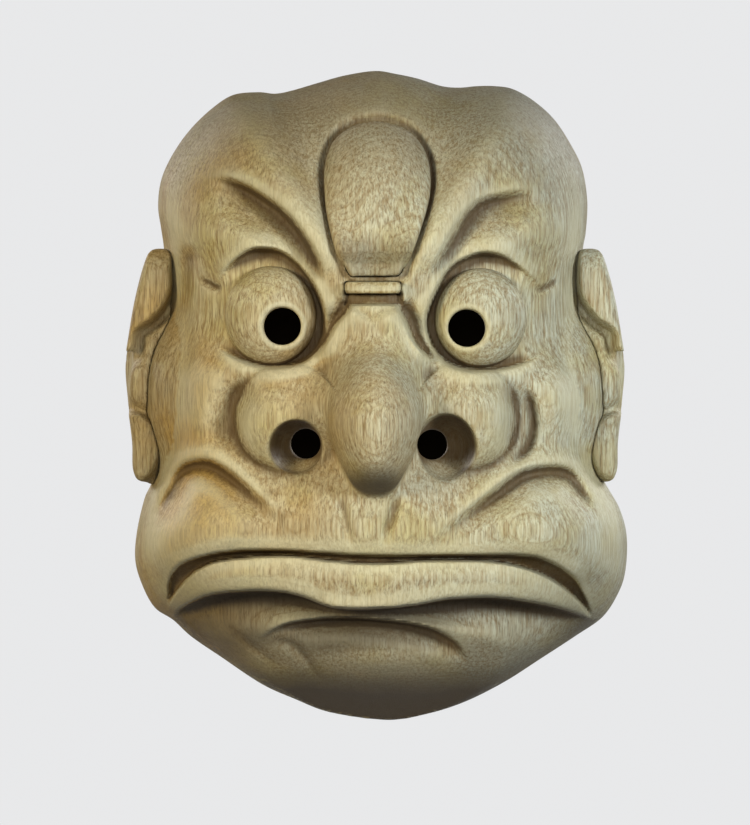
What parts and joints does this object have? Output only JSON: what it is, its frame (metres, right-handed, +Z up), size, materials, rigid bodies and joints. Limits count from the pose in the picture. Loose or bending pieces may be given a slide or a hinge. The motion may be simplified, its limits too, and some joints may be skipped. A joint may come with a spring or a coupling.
{
  "type": "carved wooden noh mask",
  "caption": "Bare wooden noh mask of a scowling demon with a teardrop forehead boss, drilled eyes, ball nose and clamped mouth, hollowed behind for a wearer.",
  "frame": {"origin": "the middle of the plane of the back rim, at mid height", "axes": "+Z up to the crown, +Y out of the back towards the wearer, +X to the viewer's right, so the face looks along -Y"},
  "size_m": [0.1646, 0.095, 0.2134],
  "materials": {
    "carved_wood": "bare carved softwood, unpainted, matt with a faint tool polish",
    "pad_cloth": "undyed plain-weave cotton over wadding"
  },
  "bodies": {
    "root": {"face_shell": "carved_wood", "forehead_boss": "carved_wood", "bridge_band": "carved_wood", "left_eyeball": "carved_wood", "right_eyeball": "carved_wood", "left_ear": "carved_wood", "right_ear": "carved_wood", "forehead_pad": "pad_cloth", "left_cheek_pad": "pad_cloth", "right_cheek_pad": "pad_cloth"}
  },
  "joints": []
}
